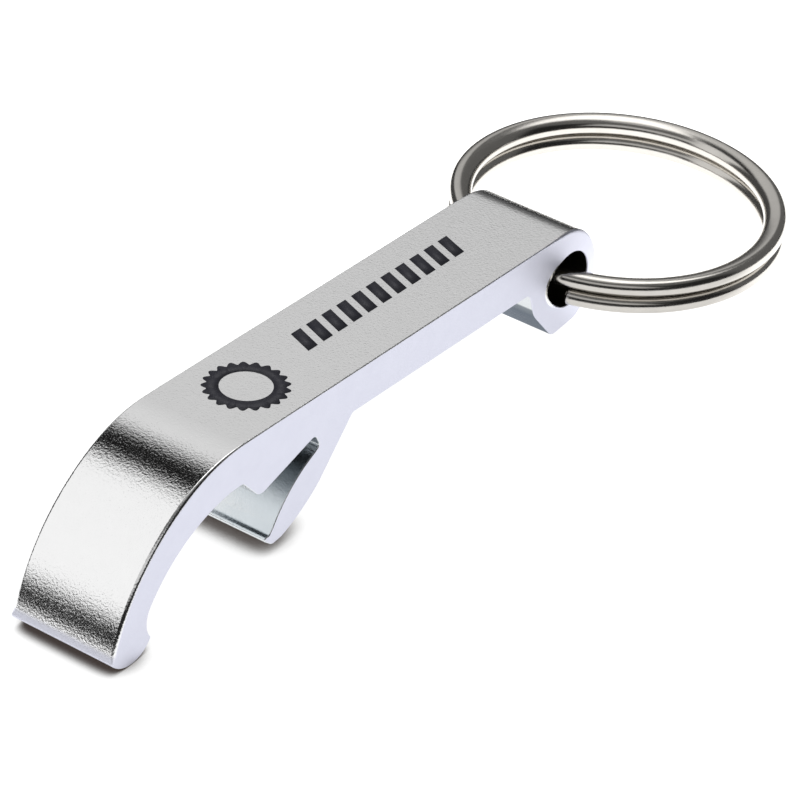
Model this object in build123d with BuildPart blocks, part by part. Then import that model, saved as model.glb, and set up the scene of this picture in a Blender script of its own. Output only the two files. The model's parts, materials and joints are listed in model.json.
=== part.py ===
from build123d import *

import math
import os

# Keychain bottle opener: an extruded aluminium opener with a steel split ring through its lug.
#
# Millimetres, +Z up, +X from the hook towards the ring. The opener lies on its hook tip and its lug, the
# ring hangs from the lug's hole with its far side on the same surface, and the origin is on that surface
# under the middle of the whole. Points of the opener's side profile are (x from the hole's axis, height).

# ---- driving dimensions: the opener ----------------------------------------------------------------
body_width = 9.7            # across the extruded profile, along Y
edge_round = 0.2            # the tumbled outer edges
top_slope = 4.4             # degrees: the top face falls towards the lug
handle_thickness = 3.62     # of the bar between the leg and the lug
top_length = 40.3           # the flat of the top face

lug_centre = (-1.0, 4.3)    # centre of the lug's round end
lug_radius = 4.65
hole_height = 4.25          # the ring's hole above the table
hole_radius = 2.4
hole_mouth_round = 0.7      # soft edge round each mouth of the hole

crest_radius = 13.7         # the top face bends over the crest ...
crest_turn = 28.4           # ... through this many degrees ...
hook_radius = 16.5          # ... and runs down the back of the hook
hook_turn = 47.0
tip_bottom = (-54.0, 0.0)
lip = (-52.0, 1.15)         # the claw that catches under a crown cap
lip_throat = (-52.35, 2.3)
mouth_centre = (-41.8, -4.45)
mouth_radius = 13.0
mouth_start = 141.5         # degrees, at the hook's inner wall
mouth_turn = -49.0          # round to the root of the tooth

tooth_root = (-41.15, 8.5)  # the tooth behind the mouth
tooth_tip = (-39.3, 6.22)
slot_top = (-32.65, 7.89)   # the closed end of the slot between the tooth and the leg
slot_bottom = (-32.1, 6.75)
slot_turn = (-32.8, 6.38)
slot_rounds = (0.5, 1.0, 0.45, 0.35)

leg_inner_middle = (-35.7, 4.7)
leg_inner_foot = (-37.75, 2.5)
toe_bend = (-38.3, 1.93)    # the toe that presses on top of a crown cap
toe_tip = (-39.32, 2.1)
toe_heel = (-38.0, 0.92)
toe_rounds = (0.3, 0.22, 0.7)
leg_outer_foot = (-36.9, 1.0)
leg_outer_middle = (-34.4, 2.0)
leg_outer_top = (-32.2, 3.45)

bar_start = -28.1           # the bar's underside runs from here ...
bar_end = -5.4              # ... to here, where the lug's wall drops
wall_middle = (-4.88, 3.35)
wall_foot = (-2.35, 0.0)
lug_foot_end = (0.77, 0.0)  # the lug stands flat on the table up to here
bar_rounds = (0.3, 0.6, 3.0, 0.9)

# ---- driving dimensions: the split ring --------------------------------------------------------------
ring_outer_radius = 13.98
wire_radial = 1.96          # the flattened wire, across the ring's radius
wire_axial = 1.46           # and along the ring's axis
wire_corner = 0.66
wire_cant = 17.0            # degrees: the wire's outer edge is tipped up
coil_gap = 0.12             # between the two turns, along the ring's axis
ring_droop = 4.8            # degrees: the far side of the ring lies lower
ring_tilt = 2.0             # degrees: so does its -Y side
ring_reach = 12.2           # from the hole's axis to the ring's centre
ring_aside = 0.9            # the ring's centre lies this far to the -Y side of the body's middle

lower_start = 197.5         # degrees round the ring: free end of the lower turn
step_start = 515.0          # the wire climbs from the lower level to the upper one
step_turn = 30.0
step_sections = 7
upper_end = 870.0           # free end of the upper turn

# ---- the frame: origin under the middle of the whole ----------------------------------------------
wire_middle_radius = ring_outer_radius - wire_radial / 2
coil_level = (wire_axial + coil_gap) / 2
ring_lean = math.degrees(math.acos(math.cos(math.radians(ring_droop)) * math.cos(math.radians(ring_tilt))))


def wire_reach(lean):
    """How far the canted wire's section reaches from its middle, lean degrees from its own axial way."""
    across = (wire_radial / 2 - wire_corner) * abs(math.sin(math.radians(lean - wire_cant)))
    along = (wire_axial / 2 - wire_corner) * math.cos(math.radians(lean - wire_cant))
    return across + along + wire_corner


ring_height = (
    wire_middle_radius * math.sin(math.radians(ring_lean))
    + coil_level * math.cos(math.radians(ring_lean))
    + wire_reach(ring_lean)
)
ring_tail = (
    ring_reach
    + wire_middle_radius * math.cos(math.radians(ring_droop))
    + coil_level * math.sin(math.radians(ring_droop))
    + (wire_radial / 2 - wire_corner) * math.cos(math.radians(ring_droop - wire_cant))
    + (wire_axial / 2 - wire_corner) * math.sin(math.radians(wire_cant - ring_droop))
    + wire_corner
)

top_along = Vector(-math.cos(math.radians(top_slope)), math.sin(math.radians(top_slope)))
top_normal = Vector(math.sin(math.radians(top_slope)), math.cos(math.radians(top_slope)))
lug_top = Vector(*lug_centre) + top_normal * lug_radius
crest_start = lug_top + top_along * top_length
crest_centre = crest_start - top_normal * crest_radius
crest_end_angle = 90 - top_slope + crest_turn
hook_centre = crest_centre - Vector(hook_radius - crest_radius, 0).rotate(Axis.Z, crest_end_angle)
hook_back = hook_centre.X - hook_radius * math.cos(math.radians(180 - crest_end_angle - hook_turn))

hole_x = -(hook_back + ring_tail) / 2
body_y = ring_aside
profile_plane = Plane(origin=(hole_x, body_y, 0), x_dir=(1, 0, 0), z_dir=(0, -1, 0))
ring_frame = Plane(Location((hole_x + ring_reach, 0, ring_height), (ring_tilt, ring_droop, 0)))


# ---- opener body: one extrusion -------------------------------------------------------------------
def on_underside(x):
    """Point of the bar's underside, which runs parallel to the top face."""
    foot = lug_top - top_normal * handle_thickness
    return (x, foot.Y + (foot.X - x) * math.tan(math.radians(top_slope)))


with BuildPart() as opener_body:
    with BuildSketch(profile_plane):
        with BuildLine():
            top = Line(lug_top, crest_start)
            crest = JernArc(top @ 1, top % 1, crest_radius, crest_turn)
            hook_outer = JernArc(crest @ 1, crest % 1, hook_radius, hook_turn)
            tip = ThreePointArc(hook_outer @ 1, tip_bottom, lip)
            mouth = CenterArc((*mouth_centre, 0), mouth_radius, mouth_start, mouth_turn)
            throat = ThreePointArc(lip, lip_throat, mouth @ 0)
            tooth_and_slot = FilletPolyline(
                mouth @ 1, tooth_root, tooth_tip, slot_top, slot_bottom, slot_turn, radius=slot_rounds
            )
            leg_inner = ThreePointArc(tooth_and_slot @ 1, leg_inner_middle, leg_inner_foot)
            leg_tip = FilletPolyline(
                leg_inner @ 1, toe_bend, toe_tip, toe_heel, leg_outer_foot, radius=toe_rounds
            )
            leg_outer = ThreePointArc(leg_tip @ 1, leg_outer_middle, leg_outer_top)
            bar_and_lug = FilletPolyline(
                leg_outer @ 1, on_underside(bar_start), on_underside(bar_end),
                wall_middle, wall_foot, lug_foot_end, radius=bar_rounds,
            )
            lug_end = ThreePointArc(bar_and_lug @ 1, Vector(*lug_centre) + Vector(lug_radius, 0), lug_top)
        make_face()
    extrude(amount=body_width / 2, both=True)
    side_faces = opener_body.faces().filter_by(Axis.Y).sort_by(Axis.Y)
    side_edges = side_faces[0].edges() + side_faces[-1].edges()
    fillet(side_edges, edge_round)
    with Locations(profile_plane * Location((0, hole_height, 0))):
        Hole(hole_radius)
    mouths = opener_body.edges().filter_by(GeomType.CIRCLE).filter_by(
        lambda edge: math.isclose(edge.radius, hole_radius, abs_tol=0.001)
    )
    fillet(mouths, hole_mouth_round)

# ---- split ring: one flattened wire wound into two turns -----------------------------------------
ring_axis = Axis(ring_frame.origin, ring_frame.z_dir)


def wire_plane(angle, level):
    """Plane of the wire's section, X outwards and Y along the ring's axis."""
    out = Vector(1, 0, 0).rotate(Axis.Z, angle)
    along = Vector(0, 1, 0).rotate(Axis.Z, angle)
    middle = ring_frame.from_local_coords(out * wire_middle_radius + Vector(0, 0, level))
    outwards = ring_frame.from_local_coords(out) - ring_frame.origin
    backwards = ring_frame.origin - ring_frame.from_local_coords(along)
    return Plane(origin=middle, x_dir=outwards, z_dir=backwards)


def climb(share):
    """Height of the wire part of the way along its step, level at both ends."""
    return -coil_level * math.cos(math.pi * share)


with BuildPart() as split_ring:
    with BuildSketch(wire_plane(lower_start, -coil_level)):
        RectangleRounded(wire_radial, wire_axial, wire_corner, rotation=wire_cant)
    revolve(axis=ring_axis, revolution_arc=step_start - lower_start)
    for i in range(step_sections):
        share = i / (step_sections - 1)
        with BuildSketch(wire_plane(step_start + step_turn * share, climb(share))):
            RectangleRounded(wire_radial, wire_axial, wire_corner, rotation=wire_cant)
    loft()
    with BuildSketch(wire_plane(step_start + step_turn, coil_level)):
        RectangleRounded(wire_radial, wire_axial, wire_corner, rotation=wire_cant)
    revolve(axis=ring_axis, revolution_arc=upper_end - step_start - step_turn)

# ---- write the pieces ---------------------------------------------------------------------------
os.makedirs("parts", exist_ok=True)
opener_body.part.label = "opener_body"
export_step(opener_body.part, "parts/opener_body.step")
split_ring.part.label = "split_ring"
export_step(split_ring.part, "parts/split_ring.step")
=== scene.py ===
import json
import math

import bpy
import numpy as np
from mathutils import Matrix, Vector
from mathutils.geometry import delaunay_2d_cdt


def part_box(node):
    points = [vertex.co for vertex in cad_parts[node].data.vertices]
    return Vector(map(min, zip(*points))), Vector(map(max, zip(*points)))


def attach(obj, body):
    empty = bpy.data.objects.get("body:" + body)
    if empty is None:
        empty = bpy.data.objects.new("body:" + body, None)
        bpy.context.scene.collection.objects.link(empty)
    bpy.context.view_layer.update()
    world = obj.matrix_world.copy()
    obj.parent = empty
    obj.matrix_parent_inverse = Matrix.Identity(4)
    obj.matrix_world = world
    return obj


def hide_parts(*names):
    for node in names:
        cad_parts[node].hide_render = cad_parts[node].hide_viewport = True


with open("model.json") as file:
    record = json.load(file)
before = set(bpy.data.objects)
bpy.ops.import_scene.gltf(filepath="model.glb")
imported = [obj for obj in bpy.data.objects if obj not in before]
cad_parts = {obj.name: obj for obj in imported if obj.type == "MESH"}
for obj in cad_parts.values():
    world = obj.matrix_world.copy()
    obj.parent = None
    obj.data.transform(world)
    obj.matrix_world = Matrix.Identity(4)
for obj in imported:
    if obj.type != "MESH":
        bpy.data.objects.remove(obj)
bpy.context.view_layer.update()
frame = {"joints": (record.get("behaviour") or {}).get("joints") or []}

# Keychain bottle opener. Shapes are worked out in millimetres in the CAD frame, and go to Blender in metres.
MM = 0.001
hole = np.array(frame["joints"][0]["pos_m"]) / MM
body_low, body_high = (np.array(corner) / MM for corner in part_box("opener_body"))
body_mid = (body_low[1] + body_high[1]) / 2
body_width = body_high[1] - body_low[1]


# ---------------------------------------------------------------- small helpers
def smoothstep(value, low, high):
    share = np.clip((np.asarray(value, float) - low) / (high - low), 0.0, 1.0)
    return share * share * (3 - 2 * share)


def new_piece(name, points, faces, body, material, replaced=None, normals=None):
    """A mesh piece from points in millimetres, riding on a CAD body."""
    mesh = bpy.data.meshes.new(name)
    mesh.from_pydata((np.asarray(points, float) * MM).tolist(), [], faces)
    mesh.materials.append(material)
    mesh.shade_smooth()
    if normals is not None:
        mesh.normals_split_custom_set_from_vertices(np.asarray(normals, float).tolist())
    piece = bpy.data.objects.new(name, mesh)
    bpy.context.scene.collection.objects.link(piece)
    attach(piece, body)
    if replaced:
        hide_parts(replaced)
    return piece


def attribute(piece, name, values):
    """A number or vector for each vertex, which the materials read."""
    values = np.asarray(values, np.float32)
    kind, field = ("FLOAT", "value") if values.ndim == 1 else ("FLOAT_VECTOR", "vector")
    piece.data.attributes.new(name, kind, "POINT").data.foreach_set(field, values.ravel())


def filled(loops):
    """Anticlockwise triangles inside a closed outline and outside its round hole, if it has one.

    Corners are numbered along the loops in turn. A triangle with every corner on the hole's rim fills the hole.
    """
    flat, edges, begin = np.vstack(loops), [], 0
    for loop in loops:
        edges += [(begin + i, begin + (i + 1) % len(loop)) for i in range(len(loop))]
        begin += len(loop)
    corners = [Vector(p) for p in flat]
    inside_edges, epsilon = 2, 1e-7
    _, _, cells, origins, _, _ = delaunay_2d_cdt(corners, edges, [], inside_edges, epsilon)
    triangles = []
    for cell in cells:
        a, b, d = (origins[i][0] for i in cell)
        if min(a, b, d) < len(loops[0]):
            area = np.cross(flat[b] - flat[a], flat[d] - flat[a])
            triangles.append((a, b, d) if area > 0 else (a, d, b))
    return triangles


def tube_faces(first, rows, columns, flip=False):
    """Quads of a grid of points whose rows close on themselves."""
    faces = []
    for r in range(rows - 1):
        low, high = first + r * columns, first + (r + 1) * columns
        for c in range(columns):
            d = (c + 1) % columns
            quad = (low + c, low + d, high + d, high + c)
            faces.append(quad[::-1] if flip else quad)
    return faces


# ---------------------------------------------------------------- the extrusion's outline
STEP = 0.02


def straight(a, b):
    a, b = np.array(a, float), np.array(b, float)
    count = max(2, int(np.hypot(*(b - a)) / STEP))
    return a + (b - a) * np.arange(count)[:, None] / count


def arc(centre, start, turn):
    """Points round centre from start, turn degrees anticlockwise, without the last one."""
    centre = np.array(centre, float)
    x, z = np.array(start, float) - centre
    count = max(2, int(math.radians(abs(turn)) * math.hypot(x, z) / STEP))
    a = math.radians(turn) * np.arange(count) / count
    return centre + np.c_[x * np.cos(a) - z * np.sin(a), x * np.sin(a) + z * np.cos(a)]


def arc_end(centre, start, turn):
    return turned(np.array(start, float) - centre, turn) + centre


def turned(vector, degrees):
    c, s = math.cos(math.radians(degrees)), math.sin(math.radians(degrees))
    return np.array([vector[0] * c - vector[1] * s, vector[0] * s + vector[1] * c])


def arc_through(a, b, c):
    a, b, c = (np.array(p, float) for p in (a, b, c))
    left = np.cross(b - a, c - b) > 0
    m = 2 * np.array([b - a, c - a])
    centre = np.linalg.solve(m, [b @ b - a @ a, c @ c - a @ a])
    start, end = a - centre, c - centre
    turn = math.degrees(math.atan2(np.cross(start, end), start @ end)) % 360
    return arc(centre, a, turn if left else turn - 360)


def rounded(points, radii):
    """A polyline with an arc at each corner, without its last point."""
    points = [np.array(p, float) for p in points]
    runs, at = [], points[0]
    for before, corner, after, radius in zip(points, points[1:], points[2:], radii):
        u = (corner - before) / np.hypot(*(corner - before))
        v = (after - corner) / np.hypot(*(after - corner))
        turn = math.degrees(math.atan2(np.cross(u, v), u @ v))
        start = corner - u * radius * math.tan(math.radians(abs(turn)) / 2)
        centre = start + turned(u, 90 if turn > 0 else -90) * radius
        runs += [straight(at, start), arc(centre, start, turn)]
        at = arc_end(centre, start, turn)
    return np.vstack(runs + [straight(at, points[-1])])


top_slope = 4.4
handle_thickness = 3.62
top_length = 40.3
lug_centre = np.array([-1.0, 4.3])
lug_radius = 4.65
hole_radius = 2.4
crest_radius, crest_turn = 13.7, 28.4
hook_radius, hook_turn = 16.5, 47.0
tip_bottom, lip, lip_throat = (-54.0, 0.0), (-52.0, 1.15), (-52.35, 2.3)
mouth_centre, mouth_radius, mouth_start, mouth_turn = np.array([-41.8, -4.45]), 13.0, 141.5, -49.0
tooth_root, tooth_tip = (-41.15, 8.5), (-39.3, 6.22)
slot_top, slot_bottom, slot_turn = (-32.65, 7.89), (-32.1, 6.75), (-32.8, 6.38)
slot_rounds = (0.5, 1.0, 0.45, 0.35)
leg_inner_middle, leg_inner_foot = (-35.7, 4.7), (-37.75, 2.5)
toe_bend, toe_tip, toe_heel = (-38.3, 1.93), (-39.32, 2.1), (-38.0, 0.92)
toe_rounds = (0.3, 0.22, 0.7)
leg_outer_foot, leg_outer_middle, leg_outer_top = (-36.9, 1.0), (-34.4, 2.0), (-32.2, 3.45)
bar_start, bar_end = -28.1, -5.4
wall_middle, wall_foot, lug_foot_end = (-4.88, 3.35), (-2.35, 0.0), (0.77, 0.0)
bar_rounds = (0.3, 0.6, 3.0, 0.9)

top_along = turned((-1, 0), -top_slope)
top_normal = turned(top_along, -90)
lug_top = lug_centre + top_normal * lug_radius


def on_underside(x):
    foot = lug_top - top_normal * handle_thickness
    return np.array([x, foot[1] + (foot[0] - x) * math.tan(math.radians(top_slope))])


def outline():
    """Points from the lug's top along the top face and back underneath: x from the hole's axis, and height."""
    crest_start = lug_top + top_along * top_length
    crest_centre = crest_start - top_normal * crest_radius
    hook_start = arc_end(crest_centre, crest_start, crest_turn)
    hook_centre = hook_start + (crest_centre - hook_start) * hook_radius / crest_radius
    hook_end = arc_end(hook_centre, hook_start, hook_turn)
    mouth_first = mouth_centre + turned((mouth_radius, 0), mouth_start)
    mouth_last = arc_end(mouth_centre, mouth_first, mouth_turn)
    tooth_and_slot = [mouth_last, tooth_root, tooth_tip, slot_top, slot_bottom, slot_turn]
    leg_tip = [leg_inner_foot, toe_bend, toe_tip, toe_heel, leg_outer_foot]
    underside = [on_underside(bar_start), on_underside(bar_end)]
    bar_and_lug = [leg_outer_top, *underside, wall_middle, wall_foot, lug_foot_end]
    return np.vstack([
        straight(lug_top, crest_start),
        arc(crest_centre, crest_start, crest_turn),
        arc(hook_centre, hook_start, hook_turn),
        arc_through(hook_end, tip_bottom, lip),
        arc_through(lip, lip_throat, mouth_first),
        arc(mouth_centre, mouth_first, mouth_turn),
        rounded(tooth_and_slot, slot_rounds),
        arc_through(slot_turn, leg_inner_middle, leg_inner_foot),
        rounded(leg_tip, toe_rounds),
        arc_through(leg_outer_foot, leg_outer_middle, leg_outer_top),
        rounded(bar_and_lug, bar_rounds),
        arc_through(lug_foot_end, lug_centre + (lug_radius, 0), lug_top),
    ])


def even(points, spacing):
    """The closed line through points, resampled at an even spacing."""
    ring = np.vstack([points, points[:1]])
    along = np.r_[0, np.cumsum(np.hypot(*np.diff(ring, axis=0).T))]
    at = np.linspace(0, along[-1], int(along[-1] / spacing), endpoint=False)
    return np.c_[np.interp(at, along, ring[:, 0]), np.interp(at, along, ring[:, 1])]


def blurred(values, sigma, spacing=STEP):
    """Gaussian smoothing round a closed line."""
    frequency = np.fft.fftfreq(len(values), spacing)
    weight = np.exp(-2 * (math.pi * frequency * sigma) ** 2)
    weight = weight.reshape((-1,) + (1,) * (np.ndim(values) - 1))
    return np.fft.ifft(np.fft.fft(values, axis=0) * weight, axis=0).real


def lowest_near(values, reach):
    """The lowest value within reach of each point of a closed line."""
    shifts = range(-int(reach / STEP), int(reach / STEP) + 1, 2)
    return np.min([np.roll(values, s) for s in shifts], axis=0)


# Corners soften a little everywhere and more round the lug's wall.
SOFTEN, SOFTEN_LUG = 0.05, 0.22
line = even(outline(), STEP)
near_lug = smoothstep(line[:, 0], -7.5, -4.5)[:, None]
line = blurred(line, SOFTEN) * (1 - near_lug) + blurred(line, SOFTEN_LUG) * near_lug
line = even(line, STEP)
line_x, line_z = line.T
tangent = np.roll(line, -1, axis=0) - np.roll(line, 1, axis=0)
tangent /= np.hypot(*tangent.T)[:, None]
outward = np.c_[tangent[:, 1], -tangent[:, 0]]
bend = np.cross(np.roll(tangent, 1, axis=0), np.roll(tangent, -1, axis=0)) / (2 * STEP)
run = np.arange(len(line)) * STEP
outer_length = top_length + math.radians(crest_turn) * crest_radius + math.radians(hook_turn) * hook_radius

# 1 on the polished outside: the top face, crest and hook, and the lug's round end.
polish = 1 - smoothstep(run, outer_length - 0.2, outer_length + 0.8)
polish = np.maximum(polish, smoothstep(run, run[-1] - lug_radius * 3, run[-1] - lug_radius))

# Radius of the rounded edges: wider along the hook and the lug's end, never wider than a convex bend allows.
EDGE, EDGE_LUG, EDGE_HOOK, EDGE_OF_BEND = 0.11, 0.2, 0.24, 0.55
edge = EDGE + EDGE_LUG * smoothstep(line_x, -3.5, 1.0)
edge += EDGE_HOOK * smoothstep(-line_x, 38.0, 50.0) * polish
edge = np.minimum(edge, lowest_near(EDGE_OF_BEND / np.maximum(blurred(bend, 0.04), 0.01), 0.3))
edge = blurred(edge, 0.12)

# Painted shade: how much the skin's colour and reflection are darkened on the lug's wall and towards the slot's
# closed end.
lug_wall = smoothstep(line_x, -5.9, -5.2) * (1 - smoothstep(line_x, -2.6, -1.8)) * (line_z < 4)
slot = smoothstep(line_x, -38.6, -36.5) * (1 - smoothstep(line_x, -31.9, -31.5))
slot = slot * smoothstep(line_z, 2.8, 6.2) * (line_z < 8.2)
shade = np.maximum(0.9 * lug_wall, 0.5 * slot)

# The skin is matt at the hook's tip, and the edges turn matt sooner towards the lug.
matt = 0.85 * smoothstep(run, outer_length - 1.9, outer_length - 0.3)
matt *= 1 - smoothstep(run, outer_length + 1.0, outer_length + 2.0)
haste = 1 + 2 * smoothstep(line_x, -14.0, -5.0)

# Points of the outline that the mesh keeps: closer together where it bends.
TURN_PER_POINT, WIDEST_GAP = math.radians(1.6), 1.2
density = np.maximum(blurred(np.abs(bend), 0.06) / TURN_PER_POINT, 1 / WIDEST_GAP)
amount = np.r_[0, np.cumsum(density) * STEP]
wanted = np.linspace(0, amount[-1], int(amount[-1]) + 1, endpoint=False)
keep = np.unique(np.searchsorted(amount, wanted).clip(0, len(line) - 1))
line, outward, edge = line[keep], outward[keep], edge[keep]
polish, shade, matt, haste = polish[keep], shade[keep], matt[keep], haste[keep]
outward /= np.hypot(*outward.T)[:, None]


# ---------------------------------------------------------------- the opener's body
EDGE_STEPS = 6
MOUTH_STEPS = 10
MOUTH_POINTS = 96
WORN_SIDE, WORN_SPREAD = 168.0, 42.0    # degrees round the hole: the ring has worn the handle's side
MOUTH_FLARE, WORN_FLARE = 0.10, 0.95
MOUTH_DEPTH, WORN_DEPTH = 0.12, 0.45


def opener_mesh():
    """The outline with rounded edges, two flat sawn faces, and a cross hole with a rounded mouth at each end.

    Returns points, faces, normals and, for each point, how sawn, polished and deep in the bore it is, and how
    much painted shade darkens it.
    """
    points, faces, normals, looks = [], [], [], []
    count = len(line)

    def add(x, y, z, nx, ny, nz, cut, shine, inside, painted_shade=0.0):
        """Adds a row of points, and returns the number of its first one."""
        first = sum(len(p) for p in points)
        shape = np.shape(x)
        points.append(np.c_[x, np.broadcast_to(y, shape), z])
        normals.append(np.c_[nx, np.broadcast_to(ny, shape), nz])
        looks.append(np.column_stack([np.broadcast_to(value, shape) for value in (cut, shine, inside, painted_shade)]))
        return first

    starts, bores = [], []
    around = np.radians(np.arange(MOUTH_POINTS) * 360 / MOUTH_POINTS)
    c, s = np.cos(around), np.sin(around)
    for side in (-1, 1):
        rows = []
        for step in range(EDGE_STEPS + 1):
            lean = math.radians(90 * step / EDGE_STEPS)
            inset = edge * (1 - math.cos(lean))
            y = body_mid + side * (body_width / 2 - edge * (1 - math.sin(lean)))
            place = line - outward * inset[:, None]
            n = outward * math.cos(lean)
            share = step / EDGE_STEPS
            # The painted shade fades out across each rounded edge.
            rows.append(add(
                place[:, 0] + hole[0], y, place[:, 1], n[:, 0], side * math.sin(lean), n[:, 1],
                np.maximum(matt, np.minimum(share * haste, 1.0)), polish, 0.0, shade * (1 - share),
            ))
        starts.append(rows[0])
        faces += tube_faces(rows[0], EDGE_STEPS + 1, count, flip=side > 0)
        rim = list(range(rows[-1], rows[-1] + count))

        worn = np.exp(-((np.degrees(around) - WORN_SIDE) / WORN_SPREAD) ** 2)
        flare = MOUTH_FLARE + WORN_FLARE * worn
        depth = MOUTH_DEPTH + WORN_DEPTH * worn
        rows = []
        for step in range(MOUTH_STEPS + 1):
            t = math.radians(90 * step / MOUTH_STEPS)
            radius = hole_radius + flare * (1 - math.sin(t))
            y = body_mid + side * (body_width / 2 - depth * (1 - math.cos(t)))
            n_in, n_out = depth * math.sin(t), flare * math.cos(t)
            size = np.hypot(n_in, n_out)
            rows.append(add(
                hole[0] + radius * c, y, hole[2] + radius * s,
                -c * n_in / size, side * n_out / size, -s * n_in / size,
                1 - 0.8 * worn * (step > 0), worn, step / MOUTH_STEPS,
            ))
        faces += tube_faces(rows[0], MOUTH_STEPS + 1, MOUTH_POINTS, flip=side > 0)
        mouth = list(range(rows[0], rows[0] + MOUTH_POINTS))
        bores.append(rows[-1])

        flat = np.vstack(points)
        numbers = rim + mouth
        for triangle in filled([flat[rim][:, [0, 2]], flat[mouth][:, [0, 2]]]):
            a, b, d = (numbers[i] for i in triangle)
            faces.append((a, b, d) if side < 0 else (a, d, b))
    for i in range(count):
        j = (i + 1) % count
        faces.append((starts[0] + i, starts[1] + i, starts[1] + j, starts[0] + j))
    for i in range(MOUTH_POINTS):
        j = (i + 1) % MOUTH_POINTS
        faces.append((bores[0] + i, bores[0] + j, bores[1] + j, bores[1] + i))
    return np.vstack(points), faces, np.vstack(normals), np.vstack(looks)


# ---------------------------------------------------------------- the split ring
ring_outer, wire_radial, wire_axial, wire_corner, coil_gap = 13.98, 1.96, 1.46, 0.66, 0.12
wire_cant = math.radians(17.0)
ring_droop, ring_tilt, ring_reach = math.radians(4.8), math.radians(2.0), 12.2
lower_start, step_start, step_turn, upper_end = 197.5, 515.0, 30.0, 870.0
coil_level = (wire_axial + coil_gap) / 2
wire_middle = ring_outer - wire_radial / 2
ring_lean = math.acos(math.cos(ring_droop) * math.cos(ring_tilt))
ring_height = wire_middle * math.sin(ring_lean) + coil_level * math.cos(ring_lean) + wire_corner
ring_height += (wire_radial / 2 - wire_corner) * math.sin(wire_cant - ring_lean)
ring_height += (wire_axial / 2 - wire_corner) * math.cos(wire_cant - ring_lean)
ring_turn = np.array(Matrix.Rotation(ring_tilt, 3, "X") @ Matrix.Rotation(ring_droop, 3, "Y"))
ring_centre = np.array([hole[0] + ring_reach, 0, ring_height])
WIRE_POINTS = 40
SECTION_POWER = 2.25    # the wire's section is a superellipse, a little fuller than an ellipse
BURR = 0.16             # taken off the edges of the wire's cut ends
RING_STEP = 1.5         # degrees from section to section


def ring_mesh():
    """Points, faces and place along the wire: two turns with one step between the coils, and two cut ends."""
    around = np.radians(np.arange(WIRE_POINTS) * 360 / WIRE_POINTS)
    c, s = np.cos(around), np.sin(around)
    section = np.c_[np.sign(c) * np.abs(c) ** (2 / SECTION_POWER) * wire_radial / 2,
                    np.sign(s) * np.abs(s) ** (2 / SECTION_POWER) * wire_axial / 2]
    cant = np.array([[math.cos(wire_cant), math.sin(wire_cant)], [-math.sin(wire_cant), math.cos(wire_cant)]])
    burr_turn = math.degrees(BURR / wire_middle)
    burr = [(burr_turn * (1 - math.cos(r)), BURR * (1 - math.sin(r))) for r in np.radians([0, 30, 60])]
    sections = [(lower_start + turn, shrink) for turn, shrink in burr]
    sections += [(a, 0.0) for a in np.arange(lower_start + burr_turn, upper_end - burr_turn, RING_STEP)]
    sections += [(upper_end - turn, shrink) for turn, shrink in [(burr_turn, 0.0)] + burr[::-1]]
    points, along = [], []
    for angle, shrink in sections:
        share = np.clip((angle - step_start) / step_turn, 0, 1)
        level = -coil_level * math.cos(math.pi * share)
        ca, sa = math.cos(math.radians(angle)), math.sin(math.radians(angle))
        place = section * (1 - shrink / np.array([wire_radial / 2, wire_axial / 2])) @ cant
        out = wire_middle + place[:, 0]
        points.append(np.c_[out * ca, out * sa, level + place[:, 1]])
        along.append(np.c_[np.full(WIRE_POINTS, math.radians(angle) * wire_middle), section])
    rows = len(points)
    faces = [f[::-1] for f in tube_faces(0, rows, WIRE_POINTS)]
    for row, number in ((0, rows * WIRE_POINTS), (rows - 1, rows * WIRE_POINTS + 1)):
        points.append(points[row].mean(axis=0)[None])
        along.append(np.array([[along[row][0][0], 0, 0]]))
        for i in range(WIRE_POINTS):
            a, b = row * WIRE_POINTS + i, row * WIRE_POINTS + (i + 1) % WIRE_POINTS
            faces.append((a, b, number) if row == 0 else (b, a, number))
    return np.vstack(points) @ ring_turn.T + ring_centre, faces, np.vstack(along)


# ---------------------------------------------------------------- the print on the top face
FILM_TOP, FILM_FOOT = 0.009, 0.002    # of the ink above the top face


def on_top(along, across, height):
    """Points over the top face: along it from the lug's top towards the hook, and across from its middle."""
    along, across = np.asarray(along, float), np.asarray(across, float)
    place = lug_top + np.multiply.outer(along, top_along) + top_normal * height
    return np.c_[place[:, 0] + hole[0], body_mid + across, place[:, 1]]


def film(outlines):
    """Thin plates on the top face, each from outer points and inner points or None, as (along, across)."""
    points, faces, total = [], [], 0
    for outer, inner in outlines:
        loops = [np.array(outer, float)] + ([np.array(inner, float)[::-1]] if inner is not None else [])
        flat = np.vstack(loops)
        count = len(flat)
        points += [on_top(flat[:, 0], flat[:, 1], height) for height in (FILM_TOP, FILM_FOOT)]
        for a, b, d in filled(loops):
            faces.append((total + a, total + d, total + b))
            faces.append((total + count + a, total + count + b, total + count + d))
        begin = 0
        for loop in loops:
            size = len(loop)
            for i in range(size):
                a, b = total + begin + i, total + begin + (i + 1) % size
                faces.append((a, b, b + count, a + count))
            begin += size
        total += 2 * count
    return np.vstack(points), faces


def crown_cap(centre, size, stroke, flutes, flute_depth):
    """A crown cap seen from above: a fluted rim round a plain disc."""
    a = np.radians(np.arange(0, 360, 2.0))
    wave = 0.5 + 0.5 * np.cos(flutes * a)
    outer = size / 2 - flute_depth * (1 - wave ** 0.7)
    rim = np.c_[centre + outer * np.cos(a), outer * np.sin(a)]
    inner = np.c_[centre + (size / 2 - stroke) * np.cos(a), (size / 2 - stroke) * np.sin(a)]
    return rim, inner


def slanted_bars(start, end, low, high, bar, gap, slant):
    """Bars across the face, from low to high, that lean along it."""
    bars, at = [], start
    while at + bar <= end:
        bars.append(([(at, low), (at + bar, low), (at + bar + slant, high), (at + slant, high)], None))
        at += bar + gap
    return bars


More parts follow.
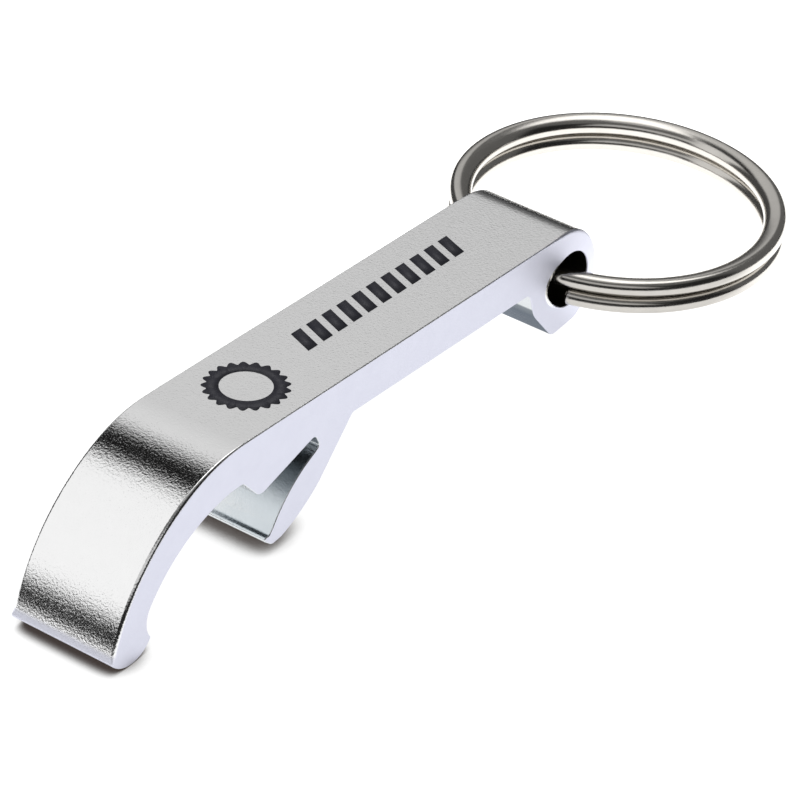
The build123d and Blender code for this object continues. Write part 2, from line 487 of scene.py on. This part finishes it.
# ---------------------------------------------------------------- materials
def node(tree, kind, inputs=(), **settings):
    made = tree.nodes.new(kind)
    for name, value in settings.items():
        setattr(made, name, value)
    for socket, value in dict(inputs).items():
        target = made.inputs[socket]
        if isinstance(value, bpy.types.NodeSocket):
            tree.links.new(value, target)
        else:
            target.default_value = value
    return made


def maths(tree, operation, *values):
    return node(tree, "ShaderNodeMath", dict(enumerate(values)), operation=operation).outputs[0]


def attribute_node(tree, name, output="Fac"):
    return node(tree, "ShaderNodeAttribute", attribute_name=name).outputs[output]


def fitted(tree, value, low, high):
    """The value's 0 to 1 as low to high."""
    return node(tree, "ShaderNodeMapRange", {"Value": value, "To Min": low, "To Max": high}).outputs[0]


def rise(tree, value, low, high, curve="SMOOTHSTEP"):
    """0 where the value is at low, 1 where it is at high."""
    limits = {"Value": value, "From Min": low, "From Max": high}
    return node(tree, "ShaderNodeMapRange", limits, interpolation_type=curve).outputs[0]


def mixed(tree, share, a, b):
    """Colour a where share is 0, b where it is 1."""
    made = node(tree, "ShaderNodeMix", {"Factor": share}, data_type="RGBA")
    for socket, value in ((made.inputs[6], a), (made.inputs[7], b)):
        if isinstance(value, bpy.types.NodeSocket):
            tree.links.new(value, socket)
        else:
            socket.default_value = value
    return made.outputs[2]


def new_material(name, **constants):
    material = bpy.data.materials.new(name)
    material.use_nodes = True
    tree = material.node_tree
    shader = tree.nodes["Principled BSDF"]
    for socket, value in constants.items():
        shader.inputs[socket.replace("_", " ")].default_value = value
    return material, tree, shader


def noise(tree, vector, scale, detail, roughness, stretch=None):
    if stretch is not None:
        vector = node(tree, "ShaderNodeMapping", {"Vector": vector, "Scale": stretch}).outputs[0]
    inputs = {"Vector": vector, "Scale": scale, "Detail": detail, "Roughness": roughness}
    return node(tree, "ShaderNodeTexNoise", inputs).outputs[0]


def aluminium():
    """Anodised aluminium: nearly a mirror with orange-peel grain outside, matt lavender where it is sawn, with
    painted shade on the lug's wall, in the slot and deep in the hole.
    """
    material, tree, shader = new_material("anodised_aluminium_look", Metallic=1.0)
    where = node(tree, "ShaderNodeTexCoord").outputs["Object"]
    cut = rise(tree, attribute_node(tree, "sawn"), 0.55, 0.9)
    shine = attribute_node(tree, "polish")
    shade = attribute_node(tree, "shade")
    bore = rise(tree, attribute_node(tree, "bore"), 0.75, 1.0, "LINEAR")
    mottle = noise(tree, where, 900.0, 3.0, 0.55)

    outer = mixed(tree, mottle, (0.88, 0.88, 0.88, 1), (0.92, 0.92, 0.92, 1))
    inner = mixed(tree, mottle, (0.72, 0.75, 0.77, 1), (0.80, 0.83, 0.85, 1))
    skin = mixed(tree, shine, inner, outer)
    # Painted shade: the skin's colour goes blue grey on the lug's wall and in the slot.
    skin = mixed(tree, shade, skin, (0.22, 0.245, 0.27, 1))
    face = mixed(tree, mottle, (0.68, 0.69, 0.79, 1), (0.73, 0.74, 0.84, 1))
    # Painted shade: deep in the hole the colour goes near black.
    colour = mixed(tree, bore, mixed(tree, cut, skin, face), (0.07, 0.065, 0.05, 1))
    tree.links.new(colour, shader.inputs["Base Color"])
    # The painted shade also dims the reflection there, through the specular tint.
    painted_shade_tint = mixed(tree, shade, (1.0, 1.0, 1.0, 1), (0.3, 0.33, 0.38, 1))
    tree.links.new(painted_shade_tint, shader.inputs["Specular Tint"])

    polished = fitted(tree, mottle, 0.06, 0.08)
    rough = node(tree, "ShaderNodeMix", {"Factor": shine, "A": 0.22, "B": polished}).outputs[0]
    rough = node(tree, "ShaderNodeMix", {"Factor": cut, "A": rough, "B": 0.42}).outputs[0]
    tree.links.new(rough, shader.inputs["Roughness"])

    peel = noise(tree, where, 5200.0, 1.5, 0.5)
    fine = noise(tree, where, 11000.0, 2.0, 0.6)
    height = maths(tree, "MULTIPLY_ADD", fine, 0.6, peel)
    strength = fitted(tree, cut, 0.8, 0.3)
    bump = node(tree, "ShaderNodeBump", {"Height": height, "Strength": strength, "Distance": 0.000018})
    tree.links.new(bump.outputs[0], shader.inputs["Normal"])
    return material


def nickel():
    """Warm bright nickel on drawn wire, with fine lines along it."""
    material, tree, shader = new_material("nickel_look", Metallic=1.0)
    along = attribute_node(tree, "along_wire", "Vector")
    lines = noise(tree, along, 3.0, 3.0, 0.6, (0.25, 6.0, 6.0))
    cloud = noise(tree, along, 0.9, 2.0, 0.5)
    colour = mixed(tree, cloud, (0.56, 0.54, 0.505, 1), (0.64, 0.615, 0.58, 1))
    tree.links.new(colour, shader.inputs["Base Color"])
    tree.links.new(fitted(tree, lines, 0.15, 0.22), shader.inputs["Roughness"])
    bump = node(tree, "ShaderNodeBump", {"Height": lines, "Strength": 0.15, "Distance": 0.00002})
    tree.links.new(bump.outputs[0], shader.inputs["Normal"])
    return material


def ink():
    """Pad-printed ink: near black, satin, with a faint mottle."""
    material, tree, shader = new_material("print_ink_look", Metallic=0.0)
    where = node(tree, "ShaderNodeTexCoord").outputs["Object"]
    mottle = noise(tree, where, 2500.0, 3.0, 0.6)
    colour = mixed(tree, mottle, (0.010, 0.010, 0.014, 1), (0.018, 0.018, 0.024, 1))
    tree.links.new(colour, shader.inputs["Base Color"])
    tree.links.new(fitted(tree, mottle, 0.42, 0.6), shader.inputs["Roughness"])
    bump = node(tree, "ShaderNodeBump", {"Height": mottle, "Strength": 0.2, "Distance": 0.00002})
    tree.links.new(bump.outputs[0], shader.inputs["Normal"])
    return material


# ---------------------------------------------------------------- pieces
points, faces, normals, looks = opener_mesh()
body = new_piece(
    "opener_extrusion", points, faces, "opener", aluminium(), "opener_body", normals
)
for name, values in zip(("sawn", "polish", "bore", "shade"), looks.T):
    attribute(body, name, values)

points, faces, along = ring_mesh()
ring = new_piece("split_ring_wire", points, faces, "ring", nickel(), "split_ring")
attribute(ring, "along_wire", along)

ink_look = ink()
points, faces = film([crown_cap(centre=34.2, size=6.8, stroke=1.35, flutes=21, flute_depth=0.42)])
new_piece("print_cap_icon", points, faces, "opener", ink_look)
points, faces = film(slanted_bars(start=7.6, end=28.4, low=-0.4, high=2.1, bar=1.15, gap=0.7, slant=-1.0))
new_piece("print_bars", points, faces, "opener", ink_look)

# ---------------------------------------------------------------- floor, light, camera
AWAY = (0.794, 0.608, 0.0)    # the way along the table that leads straight away from the camera


def stage_plate(name, corners, height, material):
    """A flat plate that isn't part of the object."""
    mesh = bpy.data.meshes.new(name)
    mesh.from_pydata([(x, y, 0) for x, y in corners], [], [(0, 1, 2, 3)])
    mesh.materials.append(material)
    plate = bpy.data.objects.new(name, mesh)
    plate.location.z = height
    bpy.context.scene.collection.objects.link(plate)
    return plate


def light_table():
    """A glowing white table, brighter behind the lug, with a soft contact shade near the hook and the leg."""
    material, tree, shader = new_material("floor_look", Roughness=0.9)
    shader.inputs["Base Color"].default_value = (0.1, 0.1, 0.1, 1)
    shader.inputs["Specular IOR Level"].default_value = 0.0
    where = node(tree, "ShaderNodeTexCoord").outputs["Object"]
    x = node(tree, "ShaderNodeSeparateXYZ", {"Vector": where}).outputs[0]
    open_air = node(tree, "ShaderNodeAmbientOcclusion", {"Distance": 0.003}, samples=16).outputs["AO"]
    open_air = rise(tree, open_air, 0.3, 0.8)
    right = rise(tree, x, -0.016, -0.006, "LINEAR")
    left = rise(tree, x, -0.055, -0.06, "LINEAR")
    open_air = maths(tree, "MAXIMUM", open_air, maths(tree, "MAXIMUM", left, right))
    tint = mixed(tree, open_air, (0.03, 0.018, 0.012, 1), (1.0, 1.0, 1.0, 1))
    depth = node(tree, "ShaderNodeVectorMath", {0: where, 1: AWAY}, operation="DOT_PRODUCT").outputs["Value"]
    glow = fitted(tree, rise(tree, depth, 0.009, 0.014, "LINEAR"), 1.0, 1.6)
    tree.links.new(tint, shader.inputs["Emission Color"])
    tree.links.new(glow, shader.inputs["Emission Strength"])
    return material


def dark_card(name, turn, near):
    """A flat black card on the table that only shows in reflections, from near onwards along turn."""
    material, _, shader = new_material(name + "_look", Roughness=1.0)
    shader.inputs["Base Color"].default_value = (0.01, 0.01, 0.01, 1)
    card = stage_plate(name, [(near, -1), (2, -1), (2, 1), (near, 1)], -0.000005, material)
    card.rotation_euler.z = turn
    card.visible_camera = card.visible_diffuse = card.visible_shadow = False


stage_plate("floor", [(-2, -2), (2, -2), (2, 2), (-2, 2)], -0.00001, light_table())
dark_card("card_behind", math.atan2(AWAY[1], AWAY[0]), 0.057)
dark_card("card_left", math.pi, 0.072)


def ramp(tree, value, stops):
    """Grey levels between the stops, which are (value from 0 to 1, level)."""
    made = node(tree, "ShaderNodeValToRGB", {"Fac": value})
    elements = made.color_ramp.elements
    while len(elements) > 1:
        elements.remove(elements[-1])
    for i, (position, level) in enumerate(stops):
        element = elements[0] if i == 0 else elements.new(position)
        element.position = position
        element.color = (level, level, level, 1)
    return made.outputs[0]


SKY_STRENGTH = 2.0


def grey(level):
    return (level / SKY_STRENGTH,) * 3 + (1,)


def studio_sky():
    """The studio's light by direction only: plain stretches of white wall and ceiling with dark gaps."""
    world = bpy.data.worlds.new("studio")
    bpy.context.scene.world = world
    world.use_nodes = True
    tree = world.node_tree
    direction = node(tree, "ShaderNodeTexCoord").outputs["Generated"]
    x, y, z = node(tree, "ShaderNodeSeparateXYZ", {"Vector": direction}).outputs

    # Far side, by degrees round the body's cross axis: 0 is along +X, 90 is up, 180 is along -X.
    stops = [(0, 0.14), (20, 0.15), (28, 0.64), (42, 0.67), (54, 0.76), (65, 0.70), (67, 0.01),
             (89, 0.01), (91, 0.85), (99, 0.97), (156, 1.0), (166, 0.97), (168, 0.01)]
    sweep = maths(tree, "DIVIDE", maths(tree, "ARCTAN2", z, x), math.pi)
    back = ramp(tree, sweep, [(angle / 180, level / SKY_STRENGTH) for angle, level in stops])

    # Near side: dark low down, a grey wall on the left, a dim ceiling, and a window on the right.
    front = mixed(tree, rise(tree, x, 0.4, 0.6), grey(0.02), grey(0.15))
    wall = maths(tree, "MULTIPLY", rise(tree, z, 0.42, 0.55), rise(tree, x, -0.2, -0.4))
    front = mixed(tree, wall, front, grey(0.65))
    front = mixed(tree, rise(tree, z, 0.76, 0.84), front, grey(0.16))
    window = maths(tree, "MULTIPLY", rise(tree, y, -0.12, -0.02), rise(tree, z, 0.5, 0.62))
    sides = maths(tree, "MULTIPLY", rise(tree, x, -0.05, 0.1), rise(tree, x, 0.7, 0.64))
    front = mixed(tree, maths(tree, "MULTIPLY", window, sides), front, grey(2.0))
    front = mixed(tree, rise(tree, z, 0.975, 0.99), front, grey(0.6))

    sky = mixed(tree, rise(tree, y, 0.3, 0.38), front, back)
    sky = mixed(tree, rise(tree, y, 0.74, 0.8), sky, grey(0.08))
    sky = mixed(tree, rise(tree, z, 0.06, 0.12), grey(0.02), sky)
    background = tree.nodes["Background"]
    tree.links.new(sky, background.inputs["Color"])
    background.inputs["Strength"].default_value = SKY_STRENGTH


def softbox(name, place, size, power):
    """A round lamp that shines at the origin and doesn't show in reflections."""
    data = bpy.data.lights.new(name, "AREA")
    data.shape = "DISK"
    data.size = size
    data.energy = power
    lamp = bpy.data.objects.new(name, data)
    lamp.location = place
    lamp.rotation_mode = "QUATERNION"
    lamp.rotation_quaternion = (-Vector(place)).to_track_quat("-Z", "Y")
    lamp.visible_glossy = False
    bpy.context.scene.collection.objects.link(lamp)


studio_sky()
softbox("overhead", place=(0.12, 0.16, 0.6), size=0.5, power=5.0)

# The camera looks down at the middle of the whole from the near left, through a long lens.
azimuth, elevation, distance = math.radians(-52.53), math.radians(36.11), 0.3342
flat_way = math.cos(elevation)
back_way = Vector((math.sin(azimuth) * flat_way, -math.cos(azimuth) * flat_way, math.sin(elevation)))
camera_data = bpy.data.cameras.new("camera")
camera_data.sensor_width = 36.0
camera_data.lens = 196.6
camera_data.clip_start, camera_data.clip_end = 0.01, 20.0
camera = bpy.data.objects.new("camera", camera_data)
aim = Vector(((hole[0] - 22.042) * MM, (body_mid - 4.66) * MM, 5.0 * MM))
camera.location = aim + back_way * distance
camera.rotation_mode = "QUATERNION"
camera.rotation_quaternion = (-back_way).to_track_quat("-Z", "Y")
bpy.context.scene.collection.objects.link(camera)
bpy.context.scene.camera = camera
bpy.context.scene.view_settings.view_transform = "Standard"

bpy.context.view_layer.update()
